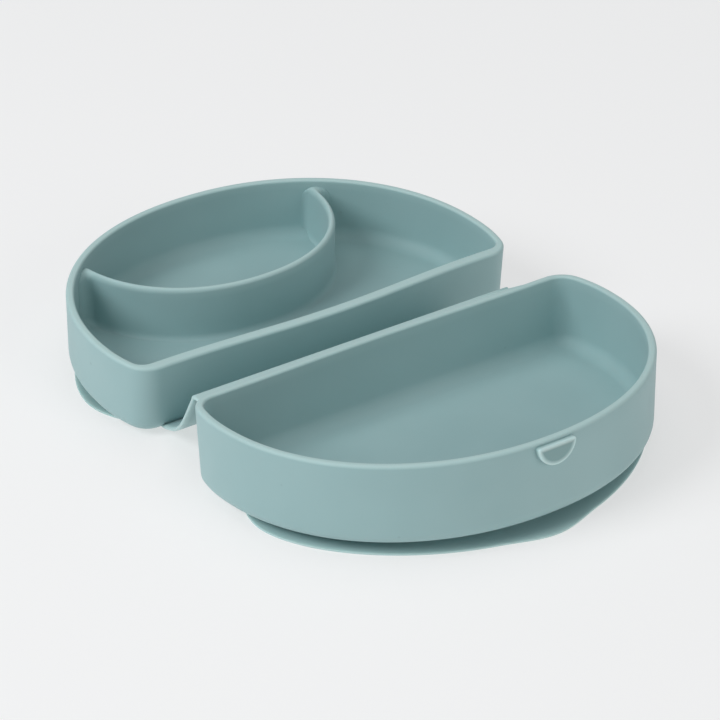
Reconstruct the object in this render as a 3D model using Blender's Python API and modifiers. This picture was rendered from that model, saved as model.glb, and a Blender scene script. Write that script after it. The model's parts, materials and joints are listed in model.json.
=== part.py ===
"""Folding suction bowl: two D-shaped silicone trays joined by a soft hinge web.

World frame: X runs along the hinge, +Y points from the hinge to the arc of the rear tray, +Z is up,
and the table is Z = 0.  Each tray is drawn in its own frame: Y = 0 is the hinge line, the arc is
towards +Y and the rim is Z = 0.  It is then tilted a little, because the web holds the hinge side low.
"""
import math
from collections import namedtuple

import bmesh
import bpy
from mathutils import Matrix, Vector

MM = 0.001

# Each D: half its width, where it is widest, how far the arc and the lower half of its oval reach
# from there, where the straight side cuts it, the radius of the two corners and the oval's power
Outline = namedtuple("Outline", "half_width widest arc_reach lower_reach side corner power")

# Each tray: its outline, rim height, depth, extra thickness and bulge of the straight side, and the
# place along the side where the bulge is greatest
Tray = namedtuple("Tray", "outline rim height side_extra bow bow_x")

REAR = Tray(
    outline=Outline(100 * MM, 27 * MM, 91.8 * MM, 74 * MM, 0.5 * MM, 12 * MM, 2.1),
    rim=34.0 * MM, height=32.2 * MM, side_extra=1.8 * MM, bow=3.2 * MM, bow_x=0.0,
)
FRONT = Tray(
    outline=Outline(100 * MM, 27 * MM, 91.8 * MM, 74 * MM, 2.1 * MM, 12 * MM, 2.1),
    rim=38.0 * MM, height=36.5 * MM, side_extra=0.0, bow=1.0 * MM, bow_x=0.0,
)
FRONT_SKIRT = Outline(95.5 * MM, 48 * MM, 72 * MM, 70 * MM, 13 * MM, 16 * MM, 1.74)
REAR_SKIRT = Outline(98.4 * MM, 40 * MM, 80 * MM, 68 * MM, 13 * MM, 16 * MM, 1.75)

HINGE_GAP = 32.6 * MM        # between the two hinge lines
TILT = math.radians(2.67)    # the arc side of each tray is this much higher
WALL = 3.5 * MM
FLOOR = 4.4 * MM
DRAFT = math.radians(1.5)
RIM_OUTER_RADIUS = 1.3 * MM
RIM_INNER_RADIUS = 0.9 * MM
HEEL_RADIUS = 5.6 * MM       # outside, between the wall and the underside
FLOOR_RADIUS = 6.0 * MM      # inside, between the wall and the floor
BOW_SPAN = 80 * MM           # half the length over which a straight side bulges

# Divider of the rear tray: the front of an oval
DIVIDER_X = -5 * MM
DIVIDER_Y = 100 * MM
DIVIDER_HALF_WIDTH = 62.5 * MM
DIVIDER_REACH = 56 * MM
DIVIDER_DROP = 2.5 * MM      # below the rim
DIVIDER_TOP = 3.0 * MM       # thickness at the top
DIVIDER_FOOT = 4.2 * MM      # thickness at the floor

# Half-moon thumb tab on the front arc
TAB_RADIUS = 9.3 * MM
TAB_X = 1.2 * MM             # its middle, across the tray
TAB_DROP = 1.7 * MM          # from the rim down to its flat side
TAB_DEPTH = 2.0 * MM
TAB_BORDER = 1.1 * MM
TAB_RECESS = 0.4 * MM
TAB_SOFTNESS = 0.3 * MM      # bevel on its edges

# Suction bases
SKIRT_EDGE = 1.0 * MM        # thickness at the edge
SKIRT_ROOT = 1.6 * MM        # height where the skirt meets the neck
NECK_INSET = 13 * MM
RING_INSET = 9 * MM          # width of the flat ring that seals on the table
CUP_INSET = 15 * MM
CUP_RISE = 0.45              # height of the hollow as a share of the neck's height
LIFT_TAB = 2.7 * MM          # the skirt's lift tab, at the middle of the arc
LIFT_TAB_HALF = 26 * MM

# Hinge web: a soft sheet from the rear tray's heel to a hem along the front tray's rim
FOLD_REAR = Vector((0, 19.4 * MM, 3.6 * MM))
FOLD_FRONT = Vector((0, -15.9 * MM, 35.6 * MM))
LEAVE_FRONT = Vector((0, 14.0 * MM, -20.4 * MM))   # how the sheet sets off from the front fold
LEAVE_REAR = Vector((0, -17.1 * MM, 5.6 * MM))     # and from the rear fold
FOLD_MIDDLE = 0.335          # place of the middle fold along the sheet, from the front fold
SETBACK = 0.02               # from a fold to the end of a strip beside it, along the sheet
WEB_THICKNESS = 1.2 * MM
WEB_LEFT = (-93 * MM, -85 * MM)    # the sheet's left edge at the front fold and at the rear fold
WEB_RIGHT = (68 * MM, 62 * MM)
HEM_THICKNESS = 1.5 * MM
HEM_DROP = 0.3 * MM          # below the rim
HEM_OUTER = -0.2 * MM        # its outer edge, from the hinge line

GAP = 0.3 * MM               # between neighbouring pieces

SIDE_STEPS = 9               # points on half a straight side
CORNER_STEPS = 6
ARC_STEPS = 30               # points on half an arc
SILICONE = (0.300, 0.450, 0.450, 1.0)


# ---------------------------------------------------------------- outlines

def oval(angle, half_x, half_y, power):
    """A point of the superellipse with these half sizes."""
    c, s = math.cos(angle), math.sin(angle)
    x = half_x * math.copysign(abs(c) ** (2 / power), c)
    y = half_y * math.copysign(abs(s) ** (2 / power), s)
    return x, y


def oval_side(shape, angle):
    """A point of the D's oval, the lower half for negative angles."""
    reach = shape.arc_reach if angle >= 0 else shape.lower_reach
    x, y = oval(angle, shape.half_width, reach, shape.power)
    return Vector((x, y + shape.widest))


def corner_of(shape):
    """Centre of the right-hand corner, and the angle on the oval where the corner ends."""
    angles = [-math.pi / 2 * i / 400 for i in range(400)]
    low, high = 0.0, shape.half_width
    for _ in range(40):
        centre = Vector(((low + high) / 2, shape.side + shape.corner))
        distance, end = min(((oval_side(shape, a) - centre).length, a) for a in angles)
        if distance > shape.corner:
            low = centre.x
        else:
            high = centre.x
    return centre, end


def d_points(shape):
    """Points around a D, anticlockwise from the middle of its straight side, and their normals."""
    centre, end = corner_of(shape)
    meet = oval_side(shape, end) - centre
    turn = math.pi / 2 + math.atan2(meet.y, meet.x)
    half = [Vector((centre.x * i / SIDE_STEPS, shape.side)) for i in range(SIDE_STEPS)]
    for i in range(CORNER_STEPS):
        a = -math.pi / 2 + turn * i / CORNER_STEPS
        half.append(centre + shape.corner * Vector((math.cos(a), math.sin(a))))
    for i in range(ARC_STEPS + 1):
        half.append(oval_side(shape, end + (math.pi / 2 - end) * i / ARC_STEPS))
    points = half + [Vector((-p.x, p.y)) for p in reversed(half[1:-1])]
    normals = []
    for i in range(len(points)):
        along = points[(i + 1) % len(points)] - points[i - 1]
        normals.append(Vector((along.y, -along.x)).normalized())
    return points, normals


REAR_D = d_points(REAR.outline)
FRONT_D = d_points(FRONT.outline)


def bulge(tray, x):
    """How far the straight side of a tray stands out at its rim."""
    from_peak = abs(x - tray.bow_x) / BOW_SPAN
    return tray.bow * math.cos(math.pi / 2 * from_peak) ** 2 if from_peak < 1 else 0.0


def tray_ring(tray, inset, z, inside=False):
    """One ring of a tray; the bulge of the straight side fades towards its foot."""
    points, normals = REAR_D if tray is REAR else FRONT_D
    ring = []
    for p, n in zip(points, normals):
        facing = max(0.0, -n.y) ** 4
        extra = tray.side_extra * facing if inside else 0.0
        x, y = p - n * (inset + extra)
        y -= facing * bulge(tray, x) * (1 + z / tray.height)
        ring.append((x, y, z))
    return ring


def quarter_turn(steps):
    """Angles from 0 to 90 degrees, ends included."""
    return [math.pi / 2 * i / steps for i in range(steps + 1)]


# ---------------------------------------------------------------- making objects

def new_collection(name):
    collection = bpy.data.collections.new(name)
    bpy.context.scene.collection.children.link(collection)
    return collection


def silicone(name):
    material = bpy.data.materials.new(name)
    material.use_nodes = True
    shader = material.node_tree.nodes["Principled BSDF"]
    shader.inputs["Base Color"].default_value = SILICONE
    shader.inputs["Roughness"].default_value = 0.55
    shader.inputs["Metallic"].default_value = 0.0
    material.diffuse_color = SILICONE
    return material


def add_object(name, mesh, collection):
    obj = bpy.data.objects.new(name, mesh)
    collection.objects.link(obj)
    return obj


def mesh_object(name, bm, collection):
    bmesh.ops.recalc_face_normals(bm, faces=bm.faces)
    mesh = bpy.data.meshes.new(name)
    bm.to_mesh(mesh)
    bm.free()
    mesh.shade_smooth()
    mesh.set_sharp_from_angle(angle=math.radians(35))
    mesh.materials.append(silicone(name + "_silicone"))
    return add_object(name, mesh, collection)


def loft(name, rings, collection):
    """A closed body through rings of equal count, with a flat face on the first and the last."""
    bm = bmesh.new()
    loops = [[bm.verts.new(p) for p in ring] for ring in rings]
    for lower, upper in zip(loops, loops[1:]):
        for i, corner in enumerate(lower):
            j = (i + 1) % len(lower)
            bm.faces.new((corner, lower[j], upper[j], upper[i]))
    bm.faces.new(list(reversed(loops[0])))
    bm.faces.new(loops[-1])
    return mesh_object(name, bm, collection)


def tray_matrix(tray):
    """From a tray's own frame to the world; the front tray is turned to face the rear one."""
    side = -1 if tray is FRONT else 1
    turn = Matrix.Rotation(math.pi if tray is FRONT else 0.0, 4, "Z")
    lean = Matrix.Rotation(side * TILT, 4, "X")
    return Matrix.Translation((0, side * HINGE_GAP / 2, tray.rim)) @ lean @ turn


def parent_to(empty, *objects):
    """Parents the objects and leaves them where they are."""
    for obj in objects:
        obj.parent = empty
        obj.matrix_parent_inverse = empty.matrix_world.inverted()


# ---------------------------------------------------------------- trays

def inner_profile(tray, grow=0.0):
    """Insets and heights of the inside of a tray, from the floor up; grow moves it inwards."""
    floor_z = FLOOR - tray.height + grow
    profile = []
    for a in quarter_turn(3):
        z = floor_z + FLOOR_RADIUS * (1 - math.cos(a))
        inset = WALL - z * math.tan(DRAFT) + FLOOR_RADIUS * (1 - math.sin(a)) + grow
        profile.append((inset, z))
    return profile


def tray_body(name, tray, collection):
    outer = []
    for a in quarter_turn(3):
        z = HEEL_RADIUS * (1 - math.cos(a)) - tray.height
        outer.append((HEEL_RADIUS * (1 - math.sin(a)) - z * math.tan(DRAFT), z))
    for a in quarter_turn(2):
        outer.append((RIM_OUTER_RADIUS * (1 - math.cos(a)), -RIM_OUTER_RADIUS * (1 - math.sin(a))))
    inner = []
    for a in quarter_turn(2):
        inset = WALL - RIM_INNER_RADIUS * (1 - math.sin(a))
        inner.append((inset, -RIM_INNER_RADIUS * (1 - math.cos(a))))
    inner += reversed(inner_profile(tray))
    rings = [tray_ring(tray, inset, z) for inset, z in outer]
    rings += [tray_ring(tray, inset, z, inside=True) for inset, z in inner]
    return loft(name, rings, collection)


def cavity(name, tray, collection):
    """The inside of a tray up to its rim, GAP smaller than the real one."""
    profile = inner_profile(tray, GAP) + [(WALL + GAP, 0.0)]
    rings = [tray_ring(tray, inset, z, inside=True) for inset, z in profile]
    return loft(name, rings, collection)


def divider(parts, cutters):
    """A curved wall across the rear tray; the tray's inside trims its ends and its foot."""
    floor_z = FLOOR - REAR.height
    crown = DIVIDER_TOP / 2
    section = [(-DIVIDER_FOOT / 2, floor_z - 2 * MM), (DIVIDER_FOOT / 2, floor_z - 2 * MM)]
    for i in range(6):
        a = math.pi * i / 5
        section.append((crown * math.cos(a), crown * (math.sin(a) - 1) - DIVIDER_DROP))
    rings = []
    for i in range(45):
        angle = math.radians(-200 + 5 * i)
        ring = []
        for offset, z in section:
            x, y = oval(angle, DIVIDER_HALF_WIDTH + offset, DIVIDER_REACH + offset, REAR.outline.power)
            ring.append((DIVIDER_X + x, DIVIDER_Y + y, z))
        rings.append(ring)
    wall = loft("compartment_divider", rings, parts)
    inside = cavity("rear_cavity", REAR, cutters)
    inside.hide_render = True
    inside.display_type = "WIRE"
    trim = wall.modifiers.new("Trim", "BOOLEAN")
    trim.operation = "INTERSECT"
    trim.solver = "EXACT"
    trim.object = inside
    return wall, inside


# ---------------------------------------------------------------- thumb tab and suction bases

def thumb_tab(collection):
    """A half-moon with a raised border, flat side up, standing out from the front tray's arc."""
    back = FRONT.outline.widest + FRONT.outline.arc_reach + GAP
    bm = bmesh.new()
    rim = []
    for i in range(21):
        a = math.pi + math.pi * i / 20
        x = TAB_X + TAB_RADIUS * math.cos(a)
        rim.append(bm.verts.new((x, back, TAB_RADIUS * math.sin(a) - TAB_DROP)))
    half_moon = bm.faces.new(rim)
    drawn = bmesh.ops.extrude_face_region(bm, geom=[half_moon], use_keep_orig=True)["geom"]
    verts = [item for item in drawn if isinstance(item, bmesh.types.BMVert)]
    bmesh.ops.translate(bm, verts=verts, vec=(0, TAB_DEPTH, 0))
    face = [item for item in drawn if isinstance(item, bmesh.types.BMFace)]
    bmesh.ops.inset_region(bm, faces=face, thickness=TAB_BORDER, depth=-TAB_RECESS)
    tab = mesh_object("thumb_tab", bm, collection)
    bevel = tab.modifiers.new("Soft edges", "BEVEL")
    bevel.width = TAB_SOFTNESS
    bevel.segments = 1
    bevel.limit_method = "ANGLE"
    bevel.angle_limit = math.radians(50)
    return tab


def suction_base(name, tray, skirt, collection):
    """A neck under the tray and a thin flared skirt, hollow below, that seals on the table."""
    points, normals = d_points(skirt)
    clearance = tray.rim - tray.height / math.cos(TILT)

    def neck_top(y):
        return clearance + y * math.tan(TILT) - GAP

    def ring(inset, height_at):
        placed = []
        for p, n in zip(points, normals):
            x, y = p - n * inset
            if n.y > 0 and abs(x) < LIFT_TAB_HALF:
                fade = max(0.0, 1 - inset / RING_INSET)
                y += fade * LIFT_TAB * math.cos(math.pi / 2 * x / LIFT_TAB_HALF) ** 2
            placed.append((x, y, height_at(y)))
        return placed

    rings = [
        ring(NECK_INSET + 0.5 * MM, neck_top),
        ring(NECK_INSET, lambda y: SKIRT_ROOT),
        ring(NECK_INSET / 2, lambda y: (SKIRT_ROOT + SKIRT_EDGE) / 2),
        ring(0.4 * MM, lambda y: SKIRT_EDGE),
        ring(0.0, lambda y: SKIRT_EDGE / 2),
        ring(0.2 * MM, lambda y: 0.0),
        ring(RING_INSET, lambda y: 0.0),
        ring(CUP_INSET, lambda y: CUP_RISE * neck_top(y)),
    ]
    return loft(name, rings, collection)


# ---------------------------------------------------------------- hinge web

def web_point(t):
    """The sheet's middle surface in the YZ plane: t = 0 at the front fold, 1 at the rear fold."""
    a, b = FOLD_FRONT, FOLD_FRONT + LEAVE_FRONT
    c, d = FOLD_REAR + LEAVE_REAR, FOLD_REAR
    s = 1 - t
    return s ** 3 * a + 3 * s * s * t * b + 3 * s * t * t * c + t ** 3 * d


def web_strip(name, start, end, collection):
    """A strip of the sheet between two places along it."""
    bm = bmesh.new()
    bmesh.ops.create_grid(bm, x_segments=1, y_segments=8, size=0.5)
    for vert in bm.verts:
        across, along = vert.co.x + 0.5, vert.co.y + 0.5
        t = start + (end - start) * along
        left = WEB_LEFT[0] + (WEB_LEFT[1] - WEB_LEFT[0]) * t
        right = WEB_RIGHT[0] + (WEB_RIGHT[1] - WEB_RIGHT[0]) * t
        vert.co = web_point(t)
        vert.co.x = left + (right - left) * across
    strip = mesh_object(name, bm, collection)
    sheet = strip.modifiers.new("Sheet", "SOLIDIFY")
    sheet.thickness = WEB_THICKNESS
    sheet.offset = 0.0
    return strip


def web_hem(collection):
    """The strip along the front tray's rim that the web hangs from, straight on its outer edge."""
    shape = FRONT.outline
    centre, _ = corner_of(shape)
    left, right = -WEB_LEFT[0], -WEB_RIGHT[0]
    outline = [(right, HEM_OUTER), (left, HEM_OUTER)]
    count = 36
    for i in range(count + 1):
        x = left + (right - left) * i / count
        past = max(0.0, abs(x) - centre.x)
        wall = centre.y - math.sqrt(shape.corner ** 2 - past ** 2) - bulge(FRONT, x)
        outline.append((x, wall - GAP))
    curve = bpy.data.curves.new("hinge_web_hem", "CURVE")
    curve.dimensions = "2D"
    curve.fill_mode = "BOTH"
    curve.extrude = HEM_THICKNESS / 2
    spline = curve.splines.new("POLY")
    spline.points.add(len(outline) - 1)
    for point, (x, y) in zip(spline.points, outline):
        point.co = (x, y, 0, 1)
    spline.use_cyclic_u = True
    curve.materials.append(silicone("hinge_web_hem_silicone"))
    return add_object("hinge_web_hem", curve, collection)


# ---------------------------------------------------------------- the bowl

def pivot(name, place, collection):
    empty = add_object(name, None, collection)
    empty.location = place
    return empty


def build():
    for obj in list(bpy.data.objects):
        bpy.data.objects.remove(obj, do_unlink=True)
    parts = new_collection("suction_bowl")
    cutters = new_collection("cutters")

    for obj in (tray_body("rear_tray", REAR, parts), *divider(parts, cutters)):
        obj.matrix_world = tray_matrix(REAR)
    front = [tray_body("front_tray", FRONT, parts), thumb_tab(parts)]
    for obj in front:
        obj.matrix_world = tray_matrix(FRONT)
    hem = web_hem(parts)
    hem.matrix_world = tray_matrix(FRONT) @ Matrix.Translation((0, 0, -HEM_DROP - HEM_THICKNESS / 2))

    rear_base = suction_base("rear_suction_base", REAR, REAR_SKIRT, parts)
    rear_base.location = (0, HINGE_GAP / 2, 0)
    front_base = suction_base("front_suction_base", FRONT, FRONT_SKIRT, parts)
    front_base.location = (0, -HINGE_GAP / 2, 0)
    front_base.rotation_euler = (0, 0, math.pi)
    upper = web_strip("hinge_web_upper", SETBACK, FOLD_MIDDLE - SETBACK, parts)
    lower = web_strip("hinge_web_lower", FOLD_MIDDLE + SETBACK, 1.0 - SETBACK / 4, parts)

    fold_rear = pivot("fold_rear", FOLD_REAR, parts)
    fold_middle = pivot("fold_middle", web_point(FOLD_MIDDLE), parts)
    fold_front = pivot("fold_front", FOLD_FRONT, parts)
    bpy.context.view_layer.update()
    parent_to(fold_rear, lower)
    parent_to(fold_middle, upper)
    parent_to(fold_front, front_base, hem, *front)


build()
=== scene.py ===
"""Looks of the folding suction bowl: two D-shaped silicone trays joined by a soft hinge web.

Lengths are metres; MM turns millimetres into metres.  Each tray is drawn in its own frame: Y = 0 is
the hinge line, the arc is towards +Y and the rim is Z = 0.
"""
import json
import math
from collections import namedtuple

import bmesh
import bpy
from mathutils import Matrix, Vector


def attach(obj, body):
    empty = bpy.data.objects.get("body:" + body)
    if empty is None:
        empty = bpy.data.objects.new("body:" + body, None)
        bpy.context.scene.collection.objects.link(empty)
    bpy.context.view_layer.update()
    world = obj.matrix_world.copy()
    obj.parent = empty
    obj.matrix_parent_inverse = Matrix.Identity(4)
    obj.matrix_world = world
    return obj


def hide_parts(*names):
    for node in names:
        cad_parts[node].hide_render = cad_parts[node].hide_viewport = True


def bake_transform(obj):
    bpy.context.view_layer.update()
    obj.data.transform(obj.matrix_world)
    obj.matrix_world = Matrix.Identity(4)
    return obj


MM = 0.001
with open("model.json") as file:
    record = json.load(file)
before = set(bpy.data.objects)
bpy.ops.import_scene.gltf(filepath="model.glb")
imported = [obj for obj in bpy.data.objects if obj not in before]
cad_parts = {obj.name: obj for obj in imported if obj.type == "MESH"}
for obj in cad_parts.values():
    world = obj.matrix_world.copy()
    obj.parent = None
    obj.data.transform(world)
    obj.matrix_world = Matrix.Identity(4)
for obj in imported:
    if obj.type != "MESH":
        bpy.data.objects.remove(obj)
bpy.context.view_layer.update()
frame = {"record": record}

# ---------------------------------------------------------------- dimensions

Outline = namedtuple("Outline", "half_width widest arc_reach lower_reach side corner power")
Tray = namedtuple("Tray", "outline rim height side_extra bow bow_x")

REAR = Tray(
    outline=Outline(100 * MM, 27 * MM, 91.8 * MM, 74 * MM, 0.5 * MM, 12 * MM, 2.1),
    rim=34.0 * MM, height=32.2 * MM, side_extra=1.8 * MM, bow=3.2 * MM, bow_x=0.0,
)
FRONT = Tray(
    outline=Outline(100 * MM, 27 * MM, 91.8 * MM, 74 * MM, 2.1 * MM, 12 * MM, 2.1),
    rim=38.0 * MM, height=36.5 * MM, side_extra=0.0, bow=1.0 * MM, bow_x=0.0,
)
FRONT_SKIRT = Outline(95.5 * MM, 48 * MM, 72 * MM, 70 * MM, 13 * MM, 16 * MM, 1.74)
REAR_SKIRT = Outline(98.4 * MM, 40 * MM, 80 * MM, 68 * MM, 13 * MM, 16 * MM, 1.75)

HINGE_GAP = 32.6 * MM
TILT = math.radians(2.67)
WALL = 3.5 * MM
FLOOR = 4.4 * MM
DRAFT = math.radians(1.5)
RIM_OUTER_RADIUS = 1.4 * MM
RIM_INNER_RADIUS = 1.1 * MM
HEEL_RADIUS = 5.6 * MM
FLOOR_RADIUS = 6.0 * MM
BOW_SPAN = 80 * MM
RIM_GLOW = 1.4 * MM            # how far below the rim the painted highlight reaches

DIVIDER_X = -5 * MM
DIVIDER_Y = 100 * MM
DIVIDER_HALF_WIDTH = 62.5 * MM
DIVIDER_REACH = 56 * MM
DIVIDER_DROP = 2.5 * MM
DIVIDER_HALF = 1.55 * MM       # half the thickness of the divider's wall
DIVIDER_FOOT_RADIUS = 3.2 * MM
DIVIDER_OUTER_FILLET = 4.0 * MM  # where its outer side runs into the arc
DIVIDER_INNER_FILLET = 3.5 * MM
DIVIDER_SINK = 0.10            # how far its top drops as it widens
DIVIDER_STEPS = 110
DIVIDER_CROWN_GROWTH = 0.9     # how much deeper its rounded top gets as it widens
DIVIDER_BED = 0.03 * MM        # how deep it sits in the tray's floor
DIVIDER_BITE = 2.2 * MM        # how far its ends run into the tray's wall
DIVIDER_SWEEP = (-210, 30)     # degrees round its oval between which it can be clear of the wall
FILLET_STEPS = 12

TAB_RADIUS = 9.3 * MM
TAB_X = 1.2 * MM
TAB_DROP = 1.7 * MM
TAB_DEPTH = 2.3 * MM           # how far the thumb tab stands out
TAB_CORNER = 0.9 * MM
TAB_BORDER = 0.6 * MM
TAB_SLOPE = 1.4 * MM           # from the border down to the recessed face
TAB_RECESS = 0.2 * MM
TAB_EDGE = 0.5 * MM            # radius round its front edge
TAB_ROOT = 2.2 * MM            # how far it starts inside the tray's wall

SKIRT_EDGE = 1.0 * MM
SKIRT_ROOT = 1.7 * MM
SKIRT_GLOW = 0.8               # how strong the skirt's painted highlight gets towards its edge
SKIRT_START = 3.0 * MM         # from the neck's line out to where the skirt is thickest
NECK_INSET = 13 * MM
NECK_TOP_INSET = 0.4 * MM      # how much narrower the neck is where it meets the tray
NECK_BITE = 0.2 * MM           # how far the neck runs into the tray
NECK_FLARE = 3.2 * MM          # how far the neck sweeps out at its foot
NECK_POWER = 1.6               # how fast the neck's sweep drops
RING_INSET = 9 * MM
CUP_INSET = 15 * MM
CUP_RISE = 0.45                # height of the hollow as a share of the height under the tray
LIFT_TAB = 2.7 * MM
LIFT_TAB_HALF = 26 * MM

UNDERSIDE_START = 2 * MM       # from a rounded edge to the flat face that closes a body
FLOOR_START = 0.8 * MM         # and the same inside a tray or a cup

WEB_HALF = 0.85 * MM           # half the sheet's thickness
# painted highlight along the sheet's side edges
WEB_EDGE_GLOW = 0.8
WEB_STATIONS = 72              # steps from one side edge of the sheet to the other
HEM_TAPER = 20 * MM            # how much further the hem runs along the tray's wall than outside
HEM_DROP = 0.005 * MM          # below the rim
HEM_BITE = 1.45 * MM           # how far it runs into the tray's wall
# painted highlight along the hem, fading out over the bend
HEM_GLOW = 0.9
HEM_STEPS = 8
BEND_Y = 0.75 * MM             # where the hem starts to turn down, from the hinge line
BEND_RADIUS = 1.1 * MM
BEND_STEPS = 8
TUCK = Vector((0, 1.6 * MM, 0.1 * MM))  # each of the web's last steps, into the rear tray
TUCK_STEPS = 2
WEB_LEFT = (-93 * MM, -85 * MM)
WEB_RIGHT = (68 * MM, 62 * MM)
LEAVE_FRONT = Vector((0, 14.0 * MM, -20.4 * MM))
LEAVE_REAR = Vector((0, -17.1 * MM, 5.6 * MM))
WEB_MIDDLE = 0.335             # the middle fold's place along the sheet

JOINTS = {joint["name"]: joint for joint in frame["record"]["behaviour"]["joints"]}
FOLD_FRONT = Vector(JOINTS["fold_front"]["pos_m"])
FOLD_REAR = Vector(JOINTS["fold_rear"]["pos_m"])

CAMERA_LENS = 170              # millimetres, as the camera counts
CAMERA_TURN = math.radians(-35.75)
CAMERA_RISE = math.radians(29.18)
CAMERA_AIM = Vector((-20.9 * MM, -32.0 * MM, 38.0 * MM))
CAMERA_DISTANCE = 1396.1 * MM

SIDE_STEPS = 36
CORNER_STEPS = 14
ARC_STEPS = 84


# ---------------------------------------------------------------- outlines

def oval(angle, half_x, half_y, power):
    """A point of the superellipse with these half sizes."""
    c, s = math.cos(angle), math.sin(angle)
    x = half_x * math.copysign(abs(c) ** (2 / power), c)
    y = half_y * math.copysign(abs(s) ** (2 / power), s)
    return x, y


def oval_side(shape, angle):
    """A point of the D's oval, the lower half for negative angles."""
    reach = shape.arc_reach if angle >= 0 else shape.lower_reach
    x, y = oval(angle, shape.half_width, reach, shape.power)
    return Vector((x, y + shape.widest))


def corner_of(shape):
    """Centre of the right-hand corner, and the angle on the oval where the corner ends."""
    angles = [-math.pi / 2 * i / 400 for i in range(400)]
    low, high = 0.0, shape.half_width
    for _ in range(40):
        centre = Vector(((low + high) / 2, shape.side + shape.corner))
        distance, end = min(((oval_side(shape, a) - centre).length, a) for a in angles)
        if distance > shape.corner:
            low = centre.x
        else:
            high = centre.x
    return centre, end


def normals_of(points):
    """Outward normals of a closed anticlockwise outline."""
    normals = []
    for i in range(len(points)):
        along = points[(i + 1) % len(points)] - points[i - 1]
        normals.append(Vector((along.y, -along.x)).normalized())
    return normals


def smoothed(points, passes):
    """A closed outline with its kinks relaxed."""
    for _ in range(passes):
        count = len(points)
        points = [(points[i - 1] + 2 * points[i] + points[(i + 1) % count]) / 4 for i in range(count)]
    return points


def d_points(shape, passes=0):
    """Points around a D, anticlockwise from the middle of its straight side, and their normals."""
    centre, end = corner_of(shape)
    meet = oval_side(shape, end) - centre
    turn = math.pi / 2 + math.atan2(meet.y, meet.x)
    half = [Vector((centre.x * i / SIDE_STEPS, shape.side)) for i in range(SIDE_STEPS)]
    for i in range(CORNER_STEPS):
        a = -math.pi / 2 + turn * i / CORNER_STEPS
        half.append(centre + shape.corner * Vector((math.cos(a), math.sin(a))))
    for i in range(ARC_STEPS + 1):
        half.append(oval_side(shape, end + (math.pi / 2 - end) * i / ARC_STEPS))
    points = half + [Vector((-p.x, p.y)) for p in reversed(half[1:-1])]
    points = smoothed(points, passes)
    return points, normals_of(points)


def bulge(tray, x):
    """How far the straight side of a tray stands out at its rim."""
    from_peak = abs(x - tray.bow_x) / BOW_SPAN
    return tray.bow * math.cos(math.pi / 2 * from_peak) ** 2 if from_peak < 1 else 0.0


def turns(steps):
    """Angles from 0 to 90 degrees, ends included."""
    return [math.pi / 2 * i / steps for i in range(steps + 1)]


def between(low, high, steps):
    """Evenly spaced values strictly between two others."""
    return [low + (high - low) * i / (steps + 1) for i in range(1, steps + 1)]


# ---------------------------------------------------------------- meshes

def mesh_object(name, bm, crease=40):
    bmesh.ops.recalc_face_normals(bm, faces=bm.faces)
    mesh = bpy.data.meshes.new(name)
    bm.to_mesh(mesh)
    bm.free()
    mesh.shade_smooth()
    mesh.set_sharp_from_angle(angle=math.radians(crease))
    obj = bpy.data.objects.new(name, mesh)
    bpy.context.scene.collection.objects.link(obj)
    return obj


def loft(name, rings, crease=40):
    """A closed body through rings of equal count, with a flat face on the first and the last.

    Each point of a ring is x, y, z and how strong a painted highlight is there, from 0 to 1.
    """
    bm = bmesh.new()
    # painted highlight: a per-point weight that lightens the colour along rims and edges
    painted_highlight_layer = bm.verts.layers.float.new("painted_highlight")
    loops = []
    for ring in rings:
        loops.append([bm.verts.new(point[:3]) for point in ring])
        for vert, point in zip(loops[-1], ring):
            vert[painted_highlight_layer] = point[3]
    for lower, upper in zip(loops, loops[1:]):
        for i, corner in enumerate(lower):
            j = (i + 1) % len(lower)
            bm.faces.new((corner, lower[j], upper[j], upper[i]))
    bm.faces.new(list(reversed(loops[0])))
    bm.faces.new(loops[-1])
    return mesh_object(name, bm, crease)


def tray_matrix(tray):
    """From a tray's own frame to the bowl's; the front tray is turned to face the rear one."""
    side = -1 if tray is FRONT else 1
    turn = Matrix.Rotation(math.pi if tray is FRONT else 0.0, 4, "Z")
    lean = Matrix.Rotation(side * TILT, 4, "X")
    return Matrix.Translation((0, side * HINGE_GAP / 2, tray.rim)) @ lean @ turn


# ---------------------------------------------------------------- trays

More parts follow.
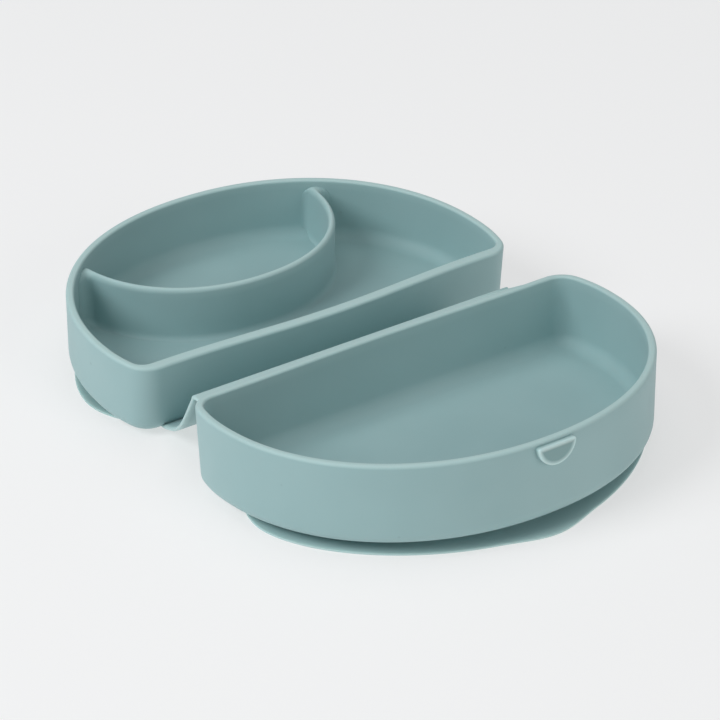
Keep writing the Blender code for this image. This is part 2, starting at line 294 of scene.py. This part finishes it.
def tray_shell(name, tray):
    """The tray as one smooth skin: underside, heel, wall, rounded rim, inside wall and floor."""
    points, normals = d_points(tray.outline)
    foot = HEEL_RADIUS - tray.height
    floor = FLOOR - tray.height

    def lean(z):
        return -z * math.tan(DRAFT)

    outer = [(HEEL_RADIUS + UNDERSIDE_START + lean(-tray.height), -tray.height)]
    for a in turns(9):
        z = HEEL_RADIUS * (1 - math.cos(a)) - tray.height
        outer.append((HEEL_RADIUS * (1 - math.sin(a)) + lean(z), z))
    outer += [(lean(z), z) for z in between(foot, -RIM_OUTER_RADIUS, 5)]
    for a in turns(7):
        outer.append((RIM_OUTER_RADIUS * (1 - math.cos(a)), -RIM_OUTER_RADIUS * (1 - math.sin(a))))
    inner = []
    for a in turns(7):
        inset = WALL - RIM_INNER_RADIUS * (1 - math.sin(a))
        inner.append((inset, -RIM_INNER_RADIUS * (1 - math.cos(a))))
    for z in between(-RIM_INNER_RADIUS, floor + FLOOR_RADIUS, 5):
        inner.append((WALL + lean(z), z))
    for a in reversed(turns(9)):
        z = floor + FLOOR_RADIUS * (1 - math.cos(a))
        inner.append((WALL + lean(z) + FLOOR_RADIUS * (1 - math.sin(a)), z))
    inner.append((WALL + lean(floor) + FLOOR_RADIUS + FLOOR_START, floor))

    rings = []
    for profile, inside in ((outer, False), (inner, True)):
        for inset, z in profile:
            # painted highlight: the rim and the wall just under it are painted lighter
            painted_highlight = max(0.0, 1 + z / RIM_GLOW)
            ring = []
            for p, n in zip(points, normals):
                facing = max(0.0, -n.y) ** 4
                x, y = p - n * (inset + (tray.side_extra * facing if inside else 0.0))
                y -= facing * bulge(tray, x) * (1 + z / tray.height)
                ring.append((x, y, z, painted_highlight))
            rings.append(ring)
    shell = loft(name, rings)
    shell.matrix_world = tray_matrix(tray)
    return shell


def nearest_wall(place, walls):
    """Distance from a place inside the tray to its inner wall, and the wall's outward normal there."""
    return min(((point - place).dot(normal), normal.x, normal.y) for point, normal in walls)


def divider_side(sign, radius, walls):
    """One side of the divider in plan, from wall to wall, with a round fillet at either end."""
    def at(angle):
        x, y = oval(angle, DIVIDER_HALF_WIDTH, DIVIDER_REACH, REAR.outline.power)
        x2, y2 = oval(angle + 0.001, DIVIDER_HALF_WIDTH, DIVIDER_REACH, REAR.outline.power)
        away = Vector((y2 - y, x - x2)).normalized() * sign
        return Vector((DIVIDER_X + x, DIVIDER_Y + y)) + away * DIVIDER_HALF, away

    def is_clear(angle):
        point, away = at(angle)
        return nearest_wall(point + away * radius, walls)[0] > radius

    half_degrees = range(2 * DIVIDER_SWEEP[0], 2 * DIVIDER_SWEEP[1])
    clear = [angle for angle in (math.radians(0.5 * i) for i in half_degrees) if is_clear(angle)]
    first, last = clear[0], clear[-1]
    side = [at(first + (last - first) * i / DIVIDER_STEPS)[0] for i in range(DIVIDER_STEPS + 1)]
    ends = []
    for angle in (first, last):
        point, away = at(angle)
        centre = point + away * radius
        _, wall_x, wall_y = nearest_wall(centre, walls)
        start = math.atan2(-away.y, -away.x)
        sweep = math.remainder(math.atan2(wall_y, wall_x) - start, 2 * math.pi)
        arc = []
        for i in range(1, FILLET_STEPS + 1):
            a = start + sweep * i / FILLET_STEPS
            arc.append(centre + radius * Vector((math.cos(a), math.sin(a))))
        for depth in (DIVIDER_BITE / 2, DIVIDER_BITE):
            arc.append(centre + (radius + depth) * Vector((wall_x, wall_y)))
        ends.append(arc)
    return ends[0][::-1] + side + ends[1]


def divider():
    """The curved wall across the rear tray, filleted into the floor and into the arc.

    Its sides are worked out at the rim and at the floor, where the tray is narrower.
    """
    points, normals = d_points(REAR.outline)
    floor = FLOOR - REAR.height - DIVIDER_BED
    foot = DIVIDER_FOOT_RADIUS
    sides = []
    for inset in (WALL, WALL - floor * math.tan(DRAFT)):
        walls = [(p - n * inset, n) for p, n in zip(points, normals)]
        sides.append(divider_side(1, DIVIDER_OUTER_FILLET, walls))
        sides.append(divider_side(-1, DIVIDER_INNER_FILLET, walls))
    rings = []
    for outer, inner, outer_foot, inner_foot in zip(*sides):
        half = (outer - inner).length / 2
        flare = max(0.0, half - DIVIDER_HALF)
        top = -DIVIDER_DROP - DIVIDER_SINK * flare
        crown = DIVIDER_HALF + DIVIDER_CROWN_GROWTH * flare
        side = [(half + foot * (1 - math.sin(a)), floor + foot * (1 - math.cos(a))) for a in turns(7)]
        side += [(half, z) for z in between(floor + foot, top - crown, 5)]
        side += [(half * math.cos(a), top - crown * (1 - math.sin(a))) for a in turns(7)]
        section = [(max(offset, 0.01 * MM), z) for offset, z in side]
        section += [(-offset, z) for offset, z in reversed(section)]
        ring = []
        for offset, z in section:
            # painted highlight along the divider's top, fading out where it widens into the wall
            near_top = max(0.0, 1 + (z - top) / (2 * RIM_GLOW))
            painted_highlight = near_top * max(0.0, 1 - flare / (3 * DIVIDER_HALF))
            depth = z / floor
            near, far = inner.lerp(inner_foot, depth), outer.lerp(outer_foot, depth)
            ring.append((*((near + far) / 2 + (far - near).normalized() * offset), z, painted_highlight))
        rings.append(ring)
    wall = loft("oval_divider", rings)
    wall.matrix_world = tray_matrix(REAR)
    return wall


# ---------------------------------------------------------------- thumb tab and suction bases

def thumb_tab(name):
    """A half-moon with a raised border, flat side up, growing out of the front tray's arc."""
    corner = TAB_CORNER
    centre_x = math.sqrt((TAB_RADIUS - corner) ** 2 - corner ** 2)
    tip = math.atan2(corner, centre_x)
    outline = []
    for i in range(7):
        a = math.pi / 2 + (math.pi / 2 + tip) * i / 6
        outline.append(Vector((-centre_x + corner * math.cos(a), -corner + corner * math.sin(a))))
    for i in range(1, 40):
        a = math.pi + tip + (math.pi - 2 * tip) * i / 40
        outline.append(TAB_RADIUS * Vector((math.cos(a), math.sin(a))))
    for i in range(7):
        a = -tip + (math.pi / 2 + tip) * i / 6
        outline.append(Vector((centre_x + corner * math.cos(a), -corner + corner * math.sin(a))))
    outline += [Vector((centre_x * (1 - 2 * i / 16), 0.0)) for i in range(1, 16)]
    normals = normals_of(outline)
    arc = FRONT.outline.widest + FRONT.outline.arc_reach
    front = arc + TAB_DEPTH
    edge = TAB_EDGE
    profile = [(0.0, arc - TAB_ROOT), (0.0, arc), (0.0, front - edge)]
    profile += [(edge * (1 - math.cos(a)), front - edge * (1 - math.sin(a))) for a in turns(4)[1:]]
    for i in range(9):
        part = i / 8
        ease = part * part * (3 - 2 * part)
        profile.append((TAB_BORDER + TAB_SLOPE * part, front - TAB_RECESS * ease))
    rings = []
    for inset, y in profile:
        # painted highlight on the tab's border, fading across the slope to its face
        painted_highlight = min(1.0, max(0.0, 1 - (inset - TAB_BORDER) / TAB_SLOPE)) if y > arc else 0.0
        rings.append([(TAB_X + p.x - n.x * inset, y, p.y - n.y * inset - TAB_DROP, painted_highlight)
                      for p, n in zip(outline, normals)])
    tab = loft(name, rings)
    tab.matrix_world = tray_matrix(FRONT)
    return tab


def suction_base(name, tray, skirt):
    """A neck under the tray that sweeps out into a slim skirt, hollow below, with a painted highlight
    towards the skirt's edge.
    """
    points, normals = d_points(skirt, passes=60)
    clearance = tray.rim - tray.height / math.cos(TILT)

    def under_tray(y):
        return clearance + y * math.tan(TILT)

    def neck_top(y):
        return under_tray(y) + NECK_BITE

    def neck_side(part):
        return lambda y: SKIRT_ROOT + (under_tray(y) - SKIRT_ROOT) * (1 - part) ** NECK_POWER

    def cup(rise):
        return lambda y: CUP_RISE * under_tray(y) * rise

    def ring(inset, height_at, painted_highlight=0.0):
        placed = []
        for p, n in zip(points, normals):
            x, y = p - n * inset
            if n.y > 0 and abs(x) < LIFT_TAB_HALF:
                fade = max(0.0, 1 - inset / RING_INSET)
                y += fade * LIFT_TAB * math.cos(math.pi / 2 * x / LIFT_TAB_HALF) ** 2
            placed.append((x, y, height_at(y), painted_highlight))
        return placed

    top_inset = NECK_INSET + NECK_TOP_INSET
    rings = [ring(NECK_INSET + UNDERSIDE_START, neck_top), ring(top_inset, neck_top)]
    for part in between(0, 1, 6):
        rings.append(ring(top_inset - NECK_FLARE * part ** 3, neck_side(part)))
    # painted highlight: the skirt is painted lighter towards its edge and fully round the edge itself
    half = SKIRT_EDGE / 2
    for part in between(0, 1, 8):
        inset = (NECK_INSET - SKIRT_START) * (1 - part) + half * part
        z = SKIRT_ROOT + (SKIRT_EDGE - SKIRT_ROOT) * part
        rings.append(ring(inset, lambda y, z=z: z, SKIRT_GLOW * part ** 3))
    for i in range(9):
        a = math.pi * i / 8
        rings.append(ring(half * (1 - math.sin(a)), lambda y, a=a: half * (1 + math.cos(a)), 1.0))
    rings.append(ring(RING_INSET, lambda y: 0.0))
    for a in turns(6)[1:]:
        inset = RING_INSET + (CUP_INSET - RING_INSET) * math.sin(a)
        rings.append(ring(inset, cup(1 - math.cos(a))))
    rings.append(ring(CUP_INSET + FLOOR_START, cup(1)))
    base = loft(name, rings)
    turn = Matrix.Rotation(math.pi if tray is FRONT else 0.0, 4, "Z")
    side = -1 if tray is FRONT else 1
    base.matrix_world = Matrix.Translation((0, side * HINGE_GAP / 2, 0)) @ turn
    return base


# ---------------------------------------------------------------- hinge web

def web_point(t):
    """The sheet's middle surface in the YZ plane: t = 0 at the front fold, 1 at the rear fold."""
    a, b = FOLD_FRONT, FOLD_FRONT + LEAVE_FRONT
    c, d = FOLD_REAR + LEAVE_REAR, FOLD_REAR
    s = 1 - t
    return s ** 3 * a + 3 * s * s * t * b + 3 * s * t * t * c + t ** 3 * d


def across(table, t):
    """A value that runs evenly from the front fold to the rear fold."""
    return table[0] + (table[1] - table[0]) * min(1.0, max(0.0, t))


def sheet(name, path, ts, glow=lambda k: 0.0):
    """A soft strip with round side edges; path gives its middle at each place for a given x.

    Its side edges get a painted highlight, and glow says how strong a painted highlight each place along
    it gets.
    """
    stations = WEB_STATIONS
    rim = [WEB_HALF * (1 - math.cos(a)) for a in turns(5)]
    rim[0] = 0.02 * MM
    bm = bmesh.new()
    # painted highlight: the same per-point weight as in loft
    painted_highlight_layer = bm.verts.layers.float.new("painted_highlight")
    tops, bottoms = [], []
    for i in range(-len(rim) + 1, stations + len(rim)):
        top_row, bottom_row = [], []
        margin = WEB_EDGE_GLOW if i < 1 or i >= stations else 0.0
        for k, t in enumerate(ts):
            left, right = across(WEB_LEFT, t), across(WEB_RIGHT, t)
            if i < 0:
                edge = rim[i + len(rim) - 1]
                x = left + edge
            elif i > stations:
                edge = rim[stations + len(rim) - 1 - i]
                x = right - edge
            else:
                edge = WEB_HALF
                x = left + WEB_HALF + (right - left - 2 * WEB_HALF) * i / stations
            half = math.sqrt(max(0.0, WEB_HALF ** 2 - (WEB_HALF - edge) ** 2))
            here = path(x, k)
            before = path(x, max(0, k - 1))
            after = path(x, min(len(ts) - 1, k + 1))
            along = (after - before).normalized()
            normal = Vector((0, -along.z, along.y))
            top_row.append(bm.verts.new(here + normal * half))
            bottom_row.append(bm.verts.new(here - normal * half))
            top_row[-1][painted_highlight_layer] = bottom_row[-1][painted_highlight_layer] = max(margin, glow(k))
        tops.append(top_row)
        bottoms.append(bottom_row)
    last = len(tops) - 1
    for rows in (tops, bottoms):
        for lower, upper in zip(rows, rows[1:]):
            for k in range(len(ts) - 1):
                bm.faces.new((lower[k], lower[k + 1], upper[k + 1], upper[k]))
    for row in (0, last):
        for k in range(len(ts) - 1):
            bm.faces.new((tops[row][k], tops[row][k + 1], bottoms[row][k + 1], bottoms[row][k]))
    for k in (0, len(ts) - 1):
        for i in range(last):
            bm.faces.new((tops[i][k], tops[i + 1][k], bottoms[i + 1][k], bottoms[i][k]))
    return mesh_object(name, bm, crease=60)


def hem_inner(x, corner_x):
    """How far from the hinge line the hem ends, inside the front tray's wall."""
    shape = FRONT.outline
    past = max(0.0, abs(x) - corner_x)
    around = math.sqrt(max(0.0, shape.corner ** 2 - past ** 2))
    return shape.side + shape.corner - around - bulge(FRONT, x) + HEM_BITE


def hem_sheet(half_way):
    """The hem along the front rim, the bend at its outer edge and the first part of the sheet."""
    place = tray_matrix(FRONT)
    corner_x = corner_of(FRONT.outline)[0].x
    hem_z = -WEB_HALF - HEM_DROP
    leave = web_point(0.02) - web_point(0)
    down = math.atan2(-leave.z, leave.y) + TILT
    ts = [0.0] * (HEM_STEPS + BEND_STEPS) + [half_way * i / 14 for i in range(15)]

    def path(x, k):
        if k < HEM_STEPS:
            inwards = 1 - k / HEM_STEPS
            x += HEM_TAPER * inwards * max(0.0, x / WEB_RIGHT[0]) ** 6
            y = BEND_Y + (hem_inner(x, corner_x) - BEND_Y) * inwards
            return place @ Vector((-x, y, hem_z))
        if k < HEM_STEPS + BEND_STEPS:
            a = down * (k - HEM_STEPS) / BEND_STEPS
            y = BEND_Y - BEND_RADIUS * math.sin(a)
            return place @ Vector((-x, y, hem_z - BEND_RADIUS * (1 - math.cos(a))))
        point = web_point(ts[k])
        return Vector((x, point.y, point.z))

    # painted highlight: full along the hem, fading out over the bend
    def glow(k):
        return HEM_GLOW * max(0.0, 1 - max(0, k - HEM_STEPS) / BEND_STEPS)

    return sheet("web_front", path, ts, glow)


def plain_sheet(name, start, end, steps, tuck_steps=0):
    """A part of the sheet between two places; its last steps can tuck into the rear tray."""
    ts = [start + (end - start) * i / steps for i in range(steps + 1)] + [end] * tuck_steps

    def path(x, k):
        point = web_point(ts[k])
        return Vector((x, point.y, point.z)) + TUCK * max(0, k - steps)

    return sheet(name, path, ts)


def web_sheets():
    """The web in three sheets, with the places along it where they meet."""
    half_way = WEB_MIDDLE / 2
    lower_half = (WEB_MIDDLE + 1) / 2
    front = hem_sheet(half_way)
    middle = plain_sheet("web_middle", half_way, lower_half, 40)
    rear = plain_sheet("web_rear", lower_half, 1.0, 24, TUCK_STEPS)
    return front, middle, rear, half_way, lower_half


# ---------------------------------------------------------------- materials

def node(tree, kind, **settings):
    made = tree.nodes.new(kind)
    for key, value in settings.items():
        if key in made.inputs:
            made.inputs[key].default_value = value
        else:
            setattr(made, key, value)
    return made


def silicone(name, dark, light, rim, scatter):
    """Moulded silicone: soft cloudy colour, fine matt grain, faint dust, light bleeding through, and a
    painted highlight in the rim colour wherever a mesh asks for it.
    """
    material = bpy.data.materials.new(name)
    material.use_nodes = True
    tree = material.node_tree
    link = tree.links.new
    shader = tree.nodes["Principled BSDF"]
    shader.inputs["Specular IOR Level"].default_value = 0.42
    shader.inputs["Subsurface Weight"].default_value = scatter
    shader.inputs["Subsurface Radius"].default_value = (0.6, 1.0, 1.1)
    shader.inputs["Subsurface Scale"].default_value = 0.0022
    shader.inputs["Sheen Weight"].default_value = 0.10
    shader.inputs["Sheen Roughness"].default_value = 0.5

    place = node(tree, "ShaderNodeTexCoord").outputs["Object"]
    clouds = node(tree, "ShaderNodeTexNoise", Scale=16.0, Detail=3.0, Roughness=0.5)
    link(place, clouds.inputs["Vector"])
    tone = node(tree, "ShaderNodeValToRGB")
    tone.color_ramp.elements[0].position = 0.30
    tone.color_ramp.elements[0].color = (*dark, 1)
    tone.color_ramp.elements[1].position = 0.72
    tone.color_ramp.elements[1].color = (*light, 1)
    link(clouds.outputs["Fac"], tone.inputs["Fac"])

    dust = node(tree, "ShaderNodeTexVoronoi", Scale=52.0, Randomness=1.0)
    link(place, dust.inputs["Vector"])
    speck = node(tree, "ShaderNodeMapRange")
    speck.inputs["From Min"].default_value = 0.020
    speck.inputs["From Max"].default_value = 0.045
    speck.inputs["To Min"].default_value = 0.30
    speck.inputs["To Max"].default_value = 0.0
    link(dust.outputs["Distance"], speck.inputs["Value"])
    marked = node(tree, "ShaderNodeMix", data_type="RGBA")
    link(speck.outputs["Result"], marked.inputs[0])
    link(tone.outputs["Color"], marked.inputs[6])
    marked.inputs[7].default_value = (*[0.55 * value for value in dark], 1)
    # painted highlight: the per-point attribute mixes the paler rim colour in along rims, borders and
    # edges
    edge = node(tree, "ShaderNodeAttribute", attribute_name="painted_highlight")
    paler = node(tree, "ShaderNodeMix", data_type="RGBA")
    link(edge.outputs["Fac"], paler.inputs[0])
    link(marked.outputs[2], paler.inputs[6])
    paler.inputs[7].default_value = (*rim, 1)
    link(paler.outputs[2], shader.inputs["Base Color"])

    grain = node(tree, "ShaderNodeTexNoise", Scale=1500.0, Detail=2.0)
    link(place, grain.inputs["Vector"])
    satin = node(tree, "ShaderNodeTexNoise", Scale=60.0, Detail=4.0)
    link(place, satin.inputs["Vector"])
    gloss = node(tree, "ShaderNodeMapRange")
    gloss.inputs["To Min"].default_value = 0.50
    gloss.inputs["To Max"].default_value = 0.64
    link(satin.outputs["Fac"], gloss.inputs["Value"])
    link(gloss.outputs["Result"], shader.inputs["Roughness"])
    bump = node(tree, "ShaderNodeBump", Strength=0.22, Distance=0.00008)
    link(grain.outputs["Fac"], bump.inputs["Height"])
    link(bump.outputs["Normal"], shader.inputs["Normal"])
    return material


def dress(obj, material):
    obj.data.materials.clear()
    obj.data.materials.append(material)


# ---------------------------------------------------------------- the bowl

def build_bowl():
    # each silicone's third colour is its painted highlight along rims and edges
    body_silicone = silicone("tray_silicone", (0.315, 0.480, 0.485), (0.355, 0.520, 0.525),
                             (0.49, 0.665, 0.652), 0.10)
    # painted shade: a darker copy of the tray silicone for the rear suction base, which lies in shadow;
    # its third colour is the skirt's painted highlight
    painted_shade_silicone = silicone("painted_shade_silicone", (0.225, 0.370, 0.365), (0.260, 0.405, 0.400),
                             (0.45, 0.62, 0.60), 0.20)
    # painted shade and painted highlight: a darker copy of the tray silicone for the thumb tab, with a
    # brighter painted highlight on its border
    tab_shaded_silicone = silicone("tab_shaded_silicone", (0.225, 0.375, 0.375), (0.265, 0.415, 0.415),
                            (0.58, 0.76, 0.75), 0.15)

    rigid = {
        "front_tray_shell": (tray_shell("front_tray_shell", FRONT), "front_tray", "front", body_silicone),
        "rear_tray_shell": (tray_shell("rear_tray_shell", REAR), "rear_tray", "rear", body_silicone),
        "oval_divider": (divider(), "compartment_divider", "rear", body_silicone),
        "half_moon_tab": (thumb_tab("half_moon_tab"), "thumb_tab", "front", tab_shaded_silicone),
        "front_base": (suction_base("front_base", FRONT, FRONT_SKIRT), "front_suction_base", "front",
                       body_silicone),
        "rear_base": (suction_base("rear_base", REAR, REAR_SKIRT), "rear_suction_base", "rear",
                      painted_shade_silicone),
    }
    for piece, cad_node, body, material in rigid.values():
        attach(piece, body)
        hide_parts(cad_node)
        dress(piece, material)

    front, middle, rear, half_way, lower_half = web_sheets()
    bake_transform(front)
    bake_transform(middle)
    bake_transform(rear)
    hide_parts("hinge_web_hem")
    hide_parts("hinge_web_upper")
    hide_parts("hinge_web_lower")
    for piece in (front, middle, rear):
        dress(piece, body_silicone)


# ---------------------------------------------------------------- stage, lights and camera

def stage():
    bpy.ops.mesh.primitive_plane_add(size=8)
    floor = bpy.context.object
    floor.name = "studio_floor"
    material = bpy.data.materials.new("studio_floor")
    material.use_nodes = True
    tree = material.node_tree
    shader = tree.nodes["Principled BSDF"]
    shader.inputs["Roughness"].default_value = 0.75
    shader.inputs["Specular IOR Level"].default_value = 0.2
    mottle = node(tree, "ShaderNodeTexNoise", Scale=6.0, Detail=2.0)
    tone = node(tree, "ShaderNodeValToRGB")
    tone.color_ramp.elements[0].color = (0.425, 0.425, 0.427, 1)
    tone.color_ramp.elements[1].color = (0.435, 0.435, 0.437, 1)
    shader.inputs["Emission Color"].default_value = (1.0, 0.995, 0.99, 1)
    shader.inputs["Emission Strength"].default_value = 0.53
    tree.links.new(node(tree, "ShaderNodeTexCoord").outputs["Object"], mottle.inputs["Vector"])
    tree.links.new(mottle.outputs["Fac"], tone.inputs["Fac"])
    tree.links.new(tone.outputs["Color"], shader.inputs["Base Color"])
    floor.data.materials.append(material)


def softbox(name, place, aim, size, power, colour):
    data = bpy.data.lights.new(name, "AREA")
    data.shape = "DISK"
    data.size = size
    data.energy = power
    data.color = colour
    lamp = bpy.data.objects.new(name, data)
    bpy.context.scene.collection.objects.link(lamp)
    lamp.location = place
    lamp.rotation_euler = (Vector(aim) - Vector(place)).to_track_quat("-Z", "Y").to_euler()


def lights():
    softbox("overhead", (0.2, 0.2, 2.2), (0, 0, 0), 2.4, 10, (1.0, 0.99, 0.97))
    softbox("key_left", (-1.8, 0.2, 1.5), (0, 0, 0), 1.3, 28, (0.955, 0.985, 1.0))
    softbox("front_fill", (0.5, -2.2, 1.0), (0, 0, 0), 1.5, 9.5, (1.0, 0.985, 0.95))
    world = bpy.data.worlds.new("studio_air")
    bpy.context.scene.world = world
    world.use_nodes = True
    air = world.node_tree.nodes["Background"]
    air.inputs["Color"].default_value = (0.90, 0.945, 1.0, 1)
    air.inputs["Strength"].default_value = 0.28


def camera():
    data = bpy.data.cameras.new("camera")
    data.lens = CAMERA_LENS
    data.sensor_width = 36
    back = Vector((math.sin(CAMERA_TURN) * math.cos(CAMERA_RISE),
                   -math.cos(CAMERA_TURN) * math.cos(CAMERA_RISE),
                   math.sin(CAMERA_RISE)))
    eye = bpy.data.objects.new("camera", data)
    bpy.context.scene.collection.objects.link(eye)
    eye.location = CAMERA_AIM + back * CAMERA_DISTANCE
    eye.rotation_euler = (-back).to_track_quat("-Z", "Y").to_euler()
    data.clip_start, data.clip_end = 0.01, 50
    bpy.context.scene.camera = eye
    bpy.context.scene.view_settings.view_transform = "Standard"


build_bowl()
stage()
lights()
camera()
